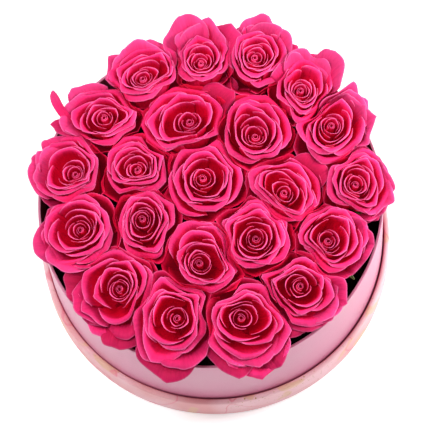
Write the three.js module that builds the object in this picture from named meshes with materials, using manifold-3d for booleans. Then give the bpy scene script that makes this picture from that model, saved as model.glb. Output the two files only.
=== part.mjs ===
// A round flower hat box: pink roses stand in black floral foam inside a rigid paper-covered box,
// and the box stands in its own upturned lid. Millimetres, +Z up. The origin is the middle of the
// underside of the lid, on the surface that the box stands on.
import * as THREE from "three";
import { mergeVertices } from "three/addons/utils/BufferGeometryUtils.js";
import Module from "manifold-3d";

const wasm = await Module();
wasm.setup();

// Boards of the box and its lid
const CLEARANCE = 0.3; // between pieces that rest on or in each other
const LID_RADIUS = 153; // outside of the lid's band
const LID_HEIGHT = 35;
const LID_BAND_THICKNESS = 3.2;
const BOX_RADIUS = 147.2; // outside of the box's wall
const RIM_HEIGHT = 133; // top edge of the box's wall above the surface
const WALL_THICKNESS = 2.2;
const PANEL_THICKNESS = 2.2; // flat boards of the lid and of the box
const BOARD_SIDES = 36;

// Floral foam
const FOAM_TOP = 88;
const FOAM_GAP = 0.6; // between the foam and the box's wall
const FOAM_RADIUS = BOX_RADIUS - WALL_THICKNESS - FOAM_GAP;

// Bouquet: a low dome of roses, whose hearts are the middles of their tops
const DOME_HEIGHT = 175; // height of a heart on the box's axis
const DOME_DROP = 14; // how much lower a heart is at DOME_REACH from the axis
const DOME_REACH = 130;
const OUTER_LEAN = 13; // degrees that a rose leans outwards at DOME_REACH
// Each rose: place of its heart, the turn of its petals in degrees, its size against a plain rose,
// and its long outer petals as [direction in degrees, level reach from the heart in mm, height of the
// tip from the heart].
const ROSES = [
  { at: [-44, 108], turn: 20, size: 1.0, long: [[100, 40, -8], [155, 36, -10]] },
  { at: [7, 115], turn: 64, size: 0.9, long: [[48, 44, -12], [106, 48, -8]] },
  { at: [-81, 77], turn: 5, size: 1.0, long: [[128, 44, -10], [180, 41, -12]] },
  { at: [-9, 61], turn: 0, size: 1.06, long: [] },
  { at: [-111, 30], turn: 78, size: 1.0, long: [[118, 38, -10], [166, 43, -12]] },
  { at: [-58, 24], turn: 63, size: 0.97, long: [] },
  { at: [-4, 8], turn: 55, size: 1.04, long: [] },
  { at: [-112, -20], turn: 90, size: 1.0, long: [[181, 43, -18], [250, 34, -16]] },
  { at: [-59, -20], turn: 0, size: 0.96, long: [] },
  { at: [54, 115], turn: 71, size: 1.0, long: [[28, 36, -12], [84, 43, -8]] },
  { at: [89, 79], turn: 81, size: 0.97, long: [[40, 45, -9], [92, 42, -11]] },
  { at: [45, 40], turn: 26, size: 1.04, long: [] },
  { at: [111, 44], turn: 60, size: 1.0, long: [[8, 37, -10], [60, 43, -10]] },
  { at: [63, -13], turn: 12, size: 0.99, long: [] },
  { at: [124, -11], turn: 84, size: 0.98, long: [[302, 33, -16], [354, 32, -10]] },
  { at: [-85, -76], turn: 37, size: 1.04, long: [[158, 46, -18], [211, 40, -16], [264, 47, -18]] },
  { at: [-40, -108], turn: 52, size: 1.02, long: [[256, 51, -20]] },
  { at: [-16, -65], turn: 17, size: 1.0, long: [] },
  { at: [34, -50], turn: 68, size: 1.02, long: [] },
  { at: [94, -58], turn: 30, size: 1.0, long: [[350, 38, -10]] },
  { at: [66, -94], turn: 75, size: 1.0, long: [[288, 35, -16], [338, 38, -12]] },
  { at: [13, -115], turn: 44, size: 1.04, long: [[258, 46, -18], [306, 47, -18]] },
];

// One rose, measured from its heart along its own axis as [radius, height]. A short core carries the
// rolled heart and the claws that the petals grow from. A petal widens from its claw to its belly and
// ends in its edge. The rings run from the outermost inwards.
const HEAD_DEPTH = 38; // from the heart down to the foot of the bloom
const PETAL_RINGS = [
  { count: 5, claw: [7, -38], twist: 1.9, line: [[24.5, -15], [31, -7]] },
  { count: 4, claw: [6.6, -35], twist: 1.6, line: [[18.3, -14], [19.5, -3.5]] },
  { count: 3, claw: [6.2, -32], twist: 1.5, line: [[13, -14], [12.6, -1.2]] },
  { count: 3, claw: [5.4, -29], twist: 1.2, line: [[7.4, -0.3]] },
];
const CLAW_HEIGHT = 2;
const PETAL_THICKNESS = 0.65;
const PETAL_COLUMNS = 4;
const PETAL_OVERLAP = 1.11; // a petal's width against its share of the ring
const RING_TURN = 40; // degrees from one ring's first petal to the next ring's
const EDGE_FALL = 0.35; // share of a petal's last stretch by which its corners are lower
const TIP_POINT = 1.4; // small point in the middle of a petal's edge
const HEART_SIDES = 6;
const HEART_RIM = [[3.4, 0], [2.6, 0]];
const HEART_HOLLOW = -7;

// Room between neighbouring roses
const SHARE_MARGIN = 0.85; // from the middle of a petal to the border with the next rose
const SHARE_SLOPE = 0.35; // how much a border leans, so that one rose's edge lies over the other's
const SHARE_DEPTH = 12; // height over which a border leans
const FREE_RADIUS = 12; // petals nearer to their own axis than this are not pressed together
const FULL_RADIUS = 31; // where an unpressed rose would end
const EVEN_PRESS = 0.9;
const RIM_BAND = 6; // petals this near to the rim's radius, and beyond it, stay above the rim
const RIM_LIFT = 2;
const ASIDE = 0.01; // cosine of the angle from which a neighbour no longer limits a point

// Stem, hip and five sepals under each bloom, measured like the rose
const STEM_RADIUS = 3;
const STEM_SIDES = 5;
const CUT_END = -102; // height of the stem's cut end, in the foam
const HIP_LEVELS = [[2.6, -51], [5.4, -43]];
const SEPAL_LEVEL = [5.4, -39.6]; // where a sepal leaves the hip, below
const HIP_TOP = [4.6, -HEAD_DEPTH - CLEARANCE]; // just under the bloom's foot
const SEPAL_TIP = [13.5, -43];
const SEPAL_TIP_THICKNESS = 0.8;
const HOLE_MARGIN = 0.5; // between a stem and its hole in the foam
const HOLE_TOP = -60; // above the foam

const PAPER = new THREE.MeshStandardMaterial({ color: 0xefcfdb, roughness: 0.55, metalness: 0 });
const PRINTED_PAPER = new THREE.MeshStandardMaterial({ color: 0xf1d3d6, roughness: 0.5, metalness: 0 });
const FOAM = new THREE.MeshStandardMaterial({ color: 0x14100f, roughness: 0.95, metalness: 0 });
const PETAL = new THREE.MeshStandardMaterial({ color: 0xec2d74, roughness: 0.6, metalness: 0 });
const LEAF_GREEN = new THREE.MeshStandardMaterial({ color: 0x6d7f35, roughness: 0.7, metalness: 0 });

const degrees = Math.PI / 180;
const part = new THREE.Group();

function addNode(name, geometry, material) {
  const mesh = new THREE.Mesh(geometry, material);
  mesh.name = name;
  part.add(mesh);
}

// Solids for joining and cutting, and back to meshes

function solidFrom(geometry) {
  const bare = geometry.clone();
  for (const name of Object.keys(bare.attributes)) {
    if (name !== "position") bare.deleteAttribute(name);
  }
  const merged = mergeVertices(bare, 1e-4);
  return new wasm.Manifold(
    new wasm.Mesh({
      numProp: 3,
      vertProperties: merged.attributes.position.array,
      triVerts: new Uint32Array(merged.index.array),
    }),
  );
}

function geometryFrom(solid) {
  const mesh = solid.getMesh();
  const geometry = new THREE.BufferGeometry();
  geometry.setAttribute("position", new THREE.BufferAttribute(mesh.vertProperties, 3));
  geometry.setIndex(new THREE.BufferAttribute(mesh.triVerts, 1));
  return geometry;
}

// A solid of revolution about +Z from a profile of [radius, height] points that runs from the
// bottom up on the outside, and closes on the axis or on itself.
function turned(profile, sides) {
  const points = profile.map(([radius, height]) => new THREE.Vector2(radius, height));
  return new THREE.LatheGeometry(points, sides).rotateX(Math.PI / 2);
}

function disc(radius, bottom, top) {
  return turned([[0, bottom], [radius, bottom], [radius, top], [0, top]], BOARD_SIDES);
}

function hoop(outer, thickness, bottom, top) {
  const inner = outer - thickness;
  const outside = [[outer, bottom], [outer, top]];
  return turned([[inner, bottom], ...outside, [inner, top], [inner, bottom]], BOARD_SIDES);
}

// The lid, upturned, and the box that stands in it

const boxBottom = PANEL_THICKNESS + CLEARANCE;
const foamBottom = boxBottom + PANEL_THICKNESS + CLEARANCE;
const panelRadius = LID_RADIUS - LID_BAND_THICKNESS - CLEARANCE;
addNode("lid_panel", disc(panelRadius, 0, PANEL_THICKNESS), PRINTED_PAPER);
addNode("lid_band", hoop(LID_RADIUS, LID_BAND_THICKNESS, 0, LID_HEIGHT), PRINTED_PAPER);
addNode("box_wall", hoop(BOX_RADIUS, WALL_THICKNESS, boxBottom, RIM_HEIGHT), PAPER);
const baseRadius = BOX_RADIUS - WALL_THICKNESS - CLEARANCE;
addNode("box_base", disc(baseRadius, boxBottom, boxBottom + PANEL_THICKNESS), PAPER);

// Where each rose stands: its heart, its axis and the matrix that sets it up there

const roses = ROSES.map((rose) => {
  const [x, y] = rose.at;
  const reach = Math.hypot(x, y) / DOME_REACH;
  const heart = new THREE.Vector3(x, y, DOME_HEIGHT - DOME_DROP * reach * reach);
  const lean = OUTER_LEAN * degrees * reach;
  const outwards = new THREE.Vector3(x, y, 0).normalize();
  const axis = outwards.multiplyScalar(Math.sin(lean)).setZ(Math.cos(lean));
  const upright = new THREE.Quaternion().setFromUnitVectors(new THREE.Vector3(0, 0, 1), axis);
  const place = new THREE.Matrix4().compose(heart, upright, new THREE.Vector3(1, 1, 1));
  return { ...rose, heart, axis, place };
});

// The point of a rose's axis at a height.
function axisAt(rose, height) {
  const along = (height - rose.heart.z) / rose.axis.z;
  return rose.heart.clone().addScaledVector(rose.axis, along);
}

// A radius beyond the free one, pressed evenly up to nine tenths of the way to the limit, and then
// ever more.
function pressedRadius(radius, limit) {
  const softStart = FREE_RADIUS + EVEN_PRESS * (limit - FREE_RADIUS);
  const evenEnd = Math.max(FULL_RADIUS, softStart);
  const slope = (softStart - FREE_RADIUS) / (evenEnd - FREE_RADIUS);
  if (radius <= evenEnd) return FREE_RADIUS + (radius - FREE_RADIUS) * slope;
  const room = limit - softStart;
  return softStart + room * (1 - Math.exp(((evenEnd - radius) * slope) / room));
}

// Moves a point of one rose level towards that rose's axis, so that it keeps to its own share of
// the bouquet, and lifts what would rest on the rim.
function keepToShare(rose, point) {
  const centre = axisAt(rose, point.z);
  const dx = point.x - centre.x;
  const dy = point.y - centre.y;
  const radius = Math.hypot(dx, dy);
  let limit = Infinity;
  roses.forEach((other) => {
    if (other === rose || radius === 0) return;
    const there = axisAt(other, point.z);
    const apart = Math.hypot(there.x - centre.x, there.y - centre.y);
    const towards = (dx * (there.x - centre.x) + dy * (there.y - centre.y)) / (radius * apart);
    if (towards <= ASIDE) return;
    const numbers = [roses.indexOf(rose), roses.indexOf(other)];
    const order = numbers[0] < numbers[1] ? 1 : -1;
    const side = (numbers[0] + numbers[1]) % 2 === 0 ? order : -order;
    const middle = (rose.heart.z + other.heart.z) / 2 - SHARE_DEPTH;
    const above = THREE.MathUtils.clamp(point.z - middle, -SHARE_DEPTH, SHARE_DEPTH);
    const half = (apart * rose.size) / (rose.size + other.size);
    limit = Math.min(limit, (half + side * SHARE_SLOPE * above - SHARE_MARGIN) / towards);
  });
  if (radius > FREE_RADIUS && limit < Infinity) {
    const share = pressedRadius(radius, limit) / radius;
    point.x = centre.x + dx * share;
    point.y = centre.y + dy * share;
  }
  if (Math.hypot(point.x, point.y) > BOX_RADIUS - WALL_THICKNESS - RIM_BAND) {
    point.z = Math.max(point.z, RIM_HEIGHT + RIM_LIFT);
  }
  return point;
}

// A long petal's tip in the rose's own frame, which leans.
function longPetal(rose, [direction, reach, height]) {
  const angle = direction * degrees;
  const tip = new THREE.Vector3(reach * Math.cos(angle), reach * Math.sin(angle), height);
  tip.add(rose.heart).applyMatrix4(rose.place.clone().invert()).divideScalar(rose.size);
  const turn = Math.atan2(tip.y, tip.x) / degrees;
  return { direction: (turn + 360) % 360, reach: Math.hypot(tip.x, tip.y), height: tip.z };
}

// The turn in degrees from one petal on to another, from 0 up to a full turn.
function turnTo(from, to) {
  return (((to.direction - from.direction) % 360) + 360) % 360;
}

// The directions of a rose's outer ring: the long petals keep their own, and plain petals share out
// the gaps between them.
function outerRing(long, count) {
  const around = [];
  let left = count - long.length;
  long.forEach((petal, k) => {
    const gap = k + 1 < long.length ? turnTo(petal, long[k + 1]) : turnTo(petal, long[0]) || 360;
    const fitting = Math.max(Math.min(left, Math.round((gap * count) / 360) - 1), 0);
    const fill = k + 1 < long.length ? fitting : left;
    around.push(petal);
    for (let i = 1; i <= fill; i += 1) {
      around.push({ direction: petal.direction + (gap * i) / (fill + 1) });
    }
    left -= fill;
  });
  return around;
}

// The petals of a rose. Each flank of a petal lies outside or inside the next petal's: the lower
// petal outside, and otherwise the right flank outside.
function petalsOf(rose) {
  const petals = [];
  PETAL_RINGS.forEach((ring, band) => {
    const long = band === 0 ? rose.long.map((tip) => longPetal(rose, tip)) : [];
    const first = long.length > 0 ? long : [{ direction: rose.turn + band * RING_TURN }];
    const around = outerRing(first, ring.count);
    around.forEach((petal, k) => {
      const next = around[(k + 1) % ring.count];
      const before = around[(k + ring.count - 1) % ring.count];
      const gaps = [turnTo(before, petal), turnTo(petal, next)];
      const widths = gaps.map((gap) => (gap / 2) * PETAL_OVERLAP * degrees);
      const sides = [before, next].map((other, flank) => {
        const fall = (other.height ?? 0) - (petal.height ?? 0);
        const outside = fall === 0 ? flank === 1 : fall > 0;
        return outside ? ring.twist : -ring.twist;
      });
      const direction = petal.direction * degrees;
      petals.push({ ...petal, direction, line: ring.line, band, widths, sides });
    });
  });
  return petals;
}

// A point of a petal's middle layer in the rose's own frame, at u from -1 to 1 across it, at the
// numbered point of its line. The corners of its edge fall back along the line, and a long petal
// reaches out in its middle.
function petalPoint(petal, u, number) {
  const flank = u < 0 ? 0 : 1;
  const edge = petal.line.length > 1 && number === petal.line.length - 1;
  const [belly, bellyHeight] = petal.line[0];
  let [radius, height] = petal.line[number];
  if (edge && petal.reach) {
    radius += (petal.reach - radius) * (1 - u * u);
    height += (petal.height - height) * (petal.sides[flank] > 0 ? 1 : 1 - u * u);
  }
  const length = Math.hypot(radius - belly, height - bellyHeight);
  const back = edge ? EDGE_FALL * u * u - (u === 0 ? TIP_POINT / length : 0) : 0;
  const shift = petal.sides[flank] * Math.abs(u);
  const r = radius + (belly - radius) * back + shift;
  const z = height + (bellyHeight - height) * back - shift / 2;
  const angle = petal.direction + u * petal.widths[flank];
  return new THREE.Vector3(r * Math.cos(angle), r * Math.sin(angle), z);
}

// The triangles between two rows of numbered points, of which the lower may be a claw's two.
function strip(lower, upper) {
  const faces = [];
  if (lower.length === upper.length) {
    for (let i = 0; i + 1 < lower.length; i += 1) {
      faces.push([lower[i], lower[i + 1], upper[i + 1]], [lower[i], upper[i + 1], upper[i]]);
    }
    return faces;
  }
  const middle = Math.floor(upper.length / 2);
  faces.push([lower[0], lower[1], upper[middle]]);
  for (let i = 0; i + 1 < upper.length; i += 1) {
    faces.push([lower[i < middle ? 0 : 1], upper[i + 1], upper[i]]);
  }
  return faces;
}

// The triangles between two closed rings of corners, each as { point, angle } by rising angle.
function collar(lower, upper) {
  const faces = [];
  const angleOf = (ring, k) => ring[k % ring.length].angle + (k >= ring.length ? 2 * Math.PI : 0);
  let i = 0;
  let j = 0;
  while (i < lower.length || j < upper.length) {
    const [a, b] = [lower[i % lower.length].point, upper[j % upper.length].point];
    if (j >= upper.length || (i < lower.length && angleOf(lower, i + 1) <= angleOf(upper, j + 1))) {
      i += 1;
      faces.push([a, lower[i % lower.length].point, b]);
    } else {
      j += 1;
      faces.push([a, upper[j % upper.length].point, b]);
    }
  }
  return faces;
}

// One bloom as one closed body. Each petal is a shell with alike triangles on both faces, which
// opens into the core at its claw, and between the claws the core is closed.
function bloomGeometry(rose) {
  const points = [];
  const faces = [];
  const add = (point) => points.push(point) - 1;
  const placed = (point) => point.multiplyScalar(rose.size).applyMatrix4(rose.place);
  const corner = (radius, height, angle) => {
    const at = new THREE.Vector3(radius * Math.cos(angle), radius * Math.sin(angle), height);
    return { point: add(placed(at)), angle: THREE.MathUtils.euclideanModulo(angle, 2 * Math.PI) };
  };
  const byAngle = (ring) => [...ring].sort((a, b) => a.angle - b.angle);
  const rings = [];

  PETAL_RINGS.forEach(({ count, claw, line }, band) => {
    const petals = petalsOf(rose).filter((petal) => petal.band === band);
    const halfClaw = Math.PI / (2 * count);
    const [radius, height] = claw;
    const feet = petals.map(({ direction }) => {
      const flanks = [direction - halfClaw, direction + halfClaw];
      return [height, height + CLAW_HEIGHT].map((z) => flanks.map((angle) => corner(radius, z, angle)));
    });
    rings.push(byAngle(feet.flatMap(([low]) => low)), byAngle(feet.flatMap(([, high]) => high)));

    petals.forEach((petal, k) => {
      const [low, high] = feet[k].map((pair) => pair.map(({ point }) => point));
      const [nextLow, nextHigh] = feet[(k + 1) % count].map((pair) => pair[0].point);
      faces.push(...strip([low[1], nextLow], [high[1], nextHigh]));

      const outer = [low];
      const inner = [high];
      const rows = line.map((_, number) => {
        const row = [];
        for (let i = 0; i <= PETAL_COLUMNS; i += 1) {
          row.push(keepToShare(rose, placed(petalPoint(petal, (2 * i) / PETAL_COLUMNS - 1, number))));
        }
        return row;
      });
      const foot = points[low[0]].clone().add(points[low[1]]).divideScalar(2);
      const lowest = (i) => (rows.length > 1 ? rows[0][i] : foot);
      const upwards = rows.at(-1).map((point, i) => point.clone().sub(lowest(i)));
      for (const row of rows) {
        const offsets = row.map((_, i) => {
          const across = row[Math.min(i + 1, PETAL_COLUMNS)].clone().sub(row[Math.max(i - 1, 0)]);
          return across.cross(upwards[i]).setLength(PETAL_THICKNESS / 2);
        });
        outer.push(row.map((point, i) => add(point.clone().add(offsets[i]))));
        inner.push(row.map((point, i) => add(point.clone().sub(offsets[i]))));
      }
      for (let j = 0; j + 1 < outer.length; j += 1) {
        faces.push(...strip(outer[j], outer[j + 1]));
        faces.push(...strip(inner[j], inner[j + 1]).map(([a, b, c]) => [a, c, b]));
      }
      const around = (layer) => {
        const left = layer.map((row) => row[0]).reverse();
        return [...layer.map((row) => row.at(-1)), ...layer.at(-1).slice(1, -1).reverse(), ...left];
      };
      faces.push(...strip(around(inner), around(outer)));
    });
  });

  for (const [radius, height] of HEART_RIM) {
    const rim = [];
    for (let side = 0; side < HEART_SIDES; side += 1) {
      rim.push(corner(radius, height, (side * 2 * Math.PI) / HEART_SIDES));
    }
    rings.push(rim);
  }
  const clawRings = 2 * PETAL_RINGS.length; // two for each ring of petals, already joined
  for (let k = 1; k + 1 < rings.length; k += k + 1 < clawRings ? 2 : 1) {
    faces.push(...collar(rings[k], rings[k + 1]));
  }
  const foot = add(placed(new THREE.Vector3(0, 0, -HEAD_DEPTH)));
  const hollow = add(placed(new THREE.Vector3(0, 0, HEART_HOLLOW)));
  const after = (ring, k) => ring[(k + 1) % ring.length].point;
  rings[0].forEach(({ point }, k) => faces.push([foot, after(rings[0], k), point]));
  rings.at(-1).forEach(({ point }, k) => faces.push([hollow, point, after(rings.at(-1), k)]));

  const geometry = new THREE.BufferGeometry().setFromPoints(points);
  geometry.setIndex(faces.flat());
  return geometry;
}

const numbered = (word, number) => word + "_" + String(number + 1).padStart(2, "0");
roses.forEach((rose, number) => addNode(numbered("bloom", number), bloomGeometry(rose), PETAL));

// The green parts of a rose as one closed body: each sepal grows out in the place of one of the
// hip's uppermost sides.
function calyxGeometry(rose) {
  const points = [];
  const faces = [];
  const add = (radius, height, angle) => {
    const point = new THREE.Vector3(radius * Math.cos(angle), radius * Math.sin(angle), height);
    return points.push(point.multiplyScalar(rose.size).applyMatrix4(rose.place)) - 1;
  };
  const angleOf = (side) => (rose.turn + (side * 360) / STEM_SIDES) * degrees;
  const profile = [[STEM_RADIUS, CUT_END], ...HIP_LEVELS, SEPAL_LEVEL, HIP_TOP];
  const levels = profile.map(([radius, height]) => {
    const level = [];
    for (let side = 0; side < STEM_SIDES; side += 1) {
      level.push(add(radius, height, angleOf(side)));
    }
    return [...level, level[0]];
  });
  const cutEnd = add(0, CUT_END, 0);
  const top = add(0, HIP_TOP[1], 0);
  for (let side = 0; side < STEM_SIDES; side += 1) {
    const pair = (level) => level.slice(side, side + 2);
    for (let k = 0; k + 2 < levels.length; k += 1) {
      faces.push(...strip(pair(levels[k]), pair(levels[k + 1])));
    }
    const [low, high] = [pair(levels.at(-2)), pair(levels.at(-1))];
    const middle = angleOf(side + 0.5);
    const under = add(SEPAL_TIP[0], SEPAL_TIP[1] - SEPAL_TIP_THICKNESS, middle);
    const over = add(SEPAL_TIP[0], SEPAL_TIP[1], middle);
    faces.push([low[0], low[1], under], [high[0], over, high[1]]);
    faces.push([low[1], high[1], over], [low[1], over, under]);
    faces.push([high[0], low[0], under], [high[0], under, over]);
    faces.push([cutEnd, levels[0][side + 1], levels[0][side]], [top, high[0], high[1]]);
  }
  const geometry = new THREE.BufferGeometry().setFromPoints(points);
  geometry.setIndex(faces.flat());
  return geometry;
}
roses.forEach((rose, number) => addNode(numbered("calyx", number), calyxGeometry(rose), LEAF_GREEN));

// The floral foam, with a plain round hole for each stem

function holeFor(rose) {
  const radius = STEM_RADIUS + HOLE_MARGIN;
  const bottom = CUT_END - HOLE_MARGIN;
  const hole = turned([[0, bottom], [radius, bottom], [radius, HOLE_TOP], [0, HOLE_TOP]], STEM_SIDES);
  hole.rotateZ(rose.turn * degrees + Math.PI / 2); // its corners face the stem's
  return solidFrom(hole.scale(rose.size, rose.size, rose.size).applyMatrix4(rose.place));
}
const foamBlock = solidFrom(disc(FOAM_RADIUS, foamBottom, FOAM_TOP));
const holedFoam = roses.reduce((foam, rose) => foam.subtract(holeFor(rose)), foamBlock);
addNode("foam", geometryFrom(holedFoam), FOAM);

part.updateMatrixWorld(true);
export default part;
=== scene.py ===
"""A round flower hat box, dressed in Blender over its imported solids.

The box stands in its own upturned lid, and a low dome of pink roses fills it. Lengths are in
millimetres until a mesh is made, and Blender's own units are metres.
"""

import math

import bpy
import numpy as np
from mathutils import Matrix, Vector


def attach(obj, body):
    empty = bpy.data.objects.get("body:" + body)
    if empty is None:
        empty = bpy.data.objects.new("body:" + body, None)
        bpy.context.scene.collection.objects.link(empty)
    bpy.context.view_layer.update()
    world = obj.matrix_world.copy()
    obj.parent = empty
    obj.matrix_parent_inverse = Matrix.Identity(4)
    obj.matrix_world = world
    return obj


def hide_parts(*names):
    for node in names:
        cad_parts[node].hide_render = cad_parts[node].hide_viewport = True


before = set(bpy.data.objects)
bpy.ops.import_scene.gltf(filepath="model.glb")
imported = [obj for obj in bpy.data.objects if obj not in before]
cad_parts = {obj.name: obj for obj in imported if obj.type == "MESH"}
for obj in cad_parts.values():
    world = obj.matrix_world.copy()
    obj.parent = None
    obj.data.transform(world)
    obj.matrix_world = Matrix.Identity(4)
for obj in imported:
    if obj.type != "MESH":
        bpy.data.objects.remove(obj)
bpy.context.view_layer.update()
scene = bpy.context.scene


# Camera
# A long lens looks down on the box from its front, slightly rolled, so that the box leans to the
# right in the picture as it does in the photograph.

CAMERA_DISTANCE = 3.0
CAMERA_ELEVATION = math.radians(72.6)
CAMERA_ROLL = math.radians(-7.4)
FOCAL_PIXELS = 3373.5
PICTURE = 430
MIDDLE_PIXEL = (216.3, 247.6)
SENSOR_WIDTH = 36
FARTHEST_SEEN = 20

camera_data = bpy.data.cameras.new("camera")
camera = bpy.data.objects.new("camera", camera_data)
scene.collection.objects.link(camera)
scene.camera = camera

backwards = Vector((0, -math.cos(CAMERA_ELEVATION), math.sin(CAMERA_ELEVATION)))
level_up = Vector((0, math.sin(CAMERA_ELEVATION), math.cos(CAMERA_ELEVATION)))
level_right = Vector((1, 0, 0))
camera_right = level_right * math.cos(CAMERA_ROLL) + level_up * math.sin(CAMERA_ROLL)
camera_up = level_up * math.cos(CAMERA_ROLL) - level_right * math.sin(CAMERA_ROLL)
camera_matrix = Matrix((camera_right, camera_up, backwards)).transposed().to_4x4()
camera_matrix.translation = backwards * CAMERA_DISTANCE
camera.matrix_world = camera_matrix
camera_data.sensor_width = SENSOR_WIDTH
camera_data.lens = FOCAL_PIXELS / PICTURE * SENSOR_WIDTH
camera_data.shift_x = (PICTURE / 2 - MIDDLE_PIXEL[0]) / PICTURE
camera_data.shift_y = (MIDDLE_PIXEL[1] - PICTURE / 2) / PICTURE
camera_data.clip_end = FARTHEST_SEEN
scene.view_settings.view_transform = "Standard"


# Light and floor
# A plain white floor in a white studio. A soft light hangs above the box and to its left, a weak one
# is behind it and one at its left. The strongest stands low at its right.

STUDIO_STRENGTH = 0.37
LIT_POINT = Vector((0, 0, 0.15))
FLOOR_SIZE = 6.0
FLOOR_DROP = 0.0005
FLOOR_GLOW = 0.28
FLOOR_WHITE = (0.9, 0.9, 0.9, 1)
WHITE = (1, 1, 1, 1)

world = bpy.data.worlds.new("white studio")
world.use_nodes = True
background = world.node_tree.nodes["Background"]
background.inputs["Color"].default_value = WHITE
background.inputs["Strength"].default_value = STUDIO_STRENGTH
scene.world = world


def soft_light(name, place, size, power):
    """A rectangular light that faces the top of the box."""
    data = bpy.data.lights.new(name, "AREA")
    data.shape = "RECTANGLE"
    data.size, data.size_y = size
    data.energy = power
    lamp = bpy.data.objects.new(name, data)
    lamp.location = place
    lamp.rotation_euler = (LIT_POINT - Vector(place)).to_track_quat("-Z", "Y").to_euler()
    scene.collection.objects.link(lamp)
    return lamp


top_light = soft_light("top light", (-0.45, 0.0, 1.5), (0.6, 0.6), 10.5)
back_light = soft_light("back light", (0.2, 0.9, 1.2), (0.9, 0.6), 3)
left_light = soft_light("left light", (-1.2, 0.35, 0.75), (0.6, 0.8), 8)
right_light = soft_light("right light", (1.2, 0.15, 0.65), (0.6, 0.8), 20.5)


def new_material(name, **values):
    """A new material, its node tree and its Principled shader, on which it sets the given values."""
    material = bpy.data.materials.new(name)
    material.use_nodes = True
    tree = material.node_tree
    shader = tree.nodes["Principled BSDF"]
    for word, value in values.items():
        shader.inputs[word.replace("_", " ")].default_value = value
    return material, tree, shader


floor_mesh = bpy.data.meshes.new("floor")
half = FLOOR_SIZE / 2
corners = [(-half, -half, 0), (half, -half, 0), (half, half, 0), (-half, half, 0)]
floor_mesh.from_pydata(corners, [], [(0, 1, 2, 3)])
floor = bpy.data.objects.new("floor", floor_mesh)
floor.location.z = -FLOOR_DROP
scene.collection.objects.link(floor)
floor_material, _, _ = new_material("white floor", Base_Color=FLOOR_WHITE, Roughness=0.9,
                                    Emission_Color=WHITE, Emission_Strength=FLOOR_GLOW)
floor_mesh.materials.append(floor_material)


# Lid, upturned
# The lid's round board lies on the surface, with its band of thick board standing up around it. The
# band's paper has a generic print of blush, tan patches, rose-coloured lines and gold specks. Its inner
# face is painted dark red, as painted shade for the thin dark gap that shows at the right, where the
# band stands off the box.

LID_RADIUS = 153.0
LID_HEIGHT = 35.0
LID_BAND_THICKNESS = 5.3
BAND_CORNER = 2.2
BAND_STEPS = 8
BOARD_SEGMENTS = 288
SEAM_ANGLE = math.radians(62)
SEAM_LAP = 12.0
SEAM_STEP = 0.18
SEAM_SLOPE = 0.6
TURNED_IN = 16.0
FOLD_STEP = 0.15
FOLD_SLOPE = 0.5
STAND_OFF = 1.0
STAND_OFF_ANGLE = -0.5
# Painted shade: the dark red reaches a little onto the band's rounded inner edges and fades out there.
GAP_SHADE_EDGE = 0.8
GAP_SHADE_FADE = 0.6
EVEN_SIDE = 5.0

BLUSH = (0.71, 0.31, 0.325, 1)
PALE_BLUSH = (0.79, 0.47, 0.515, 1)
TAN = (0.70, 0.42, 0.28, 1)
# Painted shade: dark red on the band's inner face, standing in for the shade in the gap by the box.
GAP_SHADE_LINING = (0.70, 0.05, 0.13, 1)
ROSE_LINE = (0.72, 0.20, 0.26, 1)
GOLD = (0.45, 0.24, 0.07, 1)


def mesh_object(name, material, points, faces, flat=None, uv=None, attributes=None):
    """A smooth object from points in millimetres and faces of four corners, some of them flat."""
    mesh = bpy.data.meshes.new(name)
    mesh.materials.append(material)
    mesh.vertices.add(len(points))
    mesh.vertices.foreach_set("co", (points / 1000).astype(np.float32).ravel())
    corners = faces.astype(np.int32).ravel()
    mesh.loops.add(len(corners))
    mesh.loops.foreach_set("vertex_index", corners)
    mesh.polygons.add(len(faces))
    mesh.polygons.foreach_set("loop_start", np.arange(0, len(corners), 4, dtype=np.int32))
    mesh.update(calc_edges=True)
    mesh.polygons.foreach_set("use_smooth", np.ones(len(faces), dtype=bool) if flat is None else ~flat)
    if uv is not None:
        layer = mesh.uv_layers.new(name="UVMap")
        layer.data.foreach_set("uv", uv[corners].astype(np.float32).ravel())
    for word, values in (attributes or {}).items():
        attribute = mesh.attributes.new(word, "FLOAT", "POINT")
        attribute.data.foreach_set("value", values.astype(np.float32))
    thing = bpy.data.objects.new(name, mesh)
    scene.collection.objects.link(thing)
    return thing


def grid_faces(rows, columns, first=0, closed=False):
    """Faces of a grid of points that is stored row by row, closed across its columns or not."""
    numbers = np.arange(rows * columns).reshape(rows, columns) + first
    if closed:
        numbers = np.hstack([numbers, numbers[:, :1]])
    low = numbers[:-1]
    high = numbers[1:]
    return np.stack([low[:, :-1], low[:, 1:], high[:, 1:], high[:, :-1]], -1).reshape(-1, 4)


def turned(profile, sides, bumps=None):
    """Points and faces of a ring whose closed profile of [radius, height] turns about the axis."""
    profile = np.array(profile, dtype=float)
    angle = np.linspace(0, 2 * math.pi, sides, endpoint=False)
    radius = np.repeat(profile[:, :1], sides, axis=1)
    height = np.repeat(profile[:, 1:], sides, axis=1)
    if bumps is not None:
        radius = radius + bumps(angle[None, :], radius, height)
    points = np.stack([radius * np.cos(angle), radius * np.sin(angle), height], -1)
    around = np.arange(sides)
    following = np.roll(around, -1)
    last = (len(profile) - 1) * sides
    closing = np.stack([around + last, following + last, following, around], -1)
    return points.reshape(-1, 3), np.vstack([grid_faces(len(profile), sides, closed=True), closing])


def rounded(corners, radius, steps=4):
    """A closed profile with each of its corners rounded off."""
    corners = [Vector(corner) for corner in corners]
    points = []
    for k, corner in enumerate(corners):
        before = (corners[k - 1] - corner).normalized()
        after = (corners[(k + 1) % len(corners)] - corner).normalized()
        for step in range(steps + 1):
            t = step / steps
            start = corner + before * radius
            end = corner + after * radius
            points.append(tuple(start * (1 - t) ** 2 + corner * 2 * t * (1 - t) + end * t * t))
    return points


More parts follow.
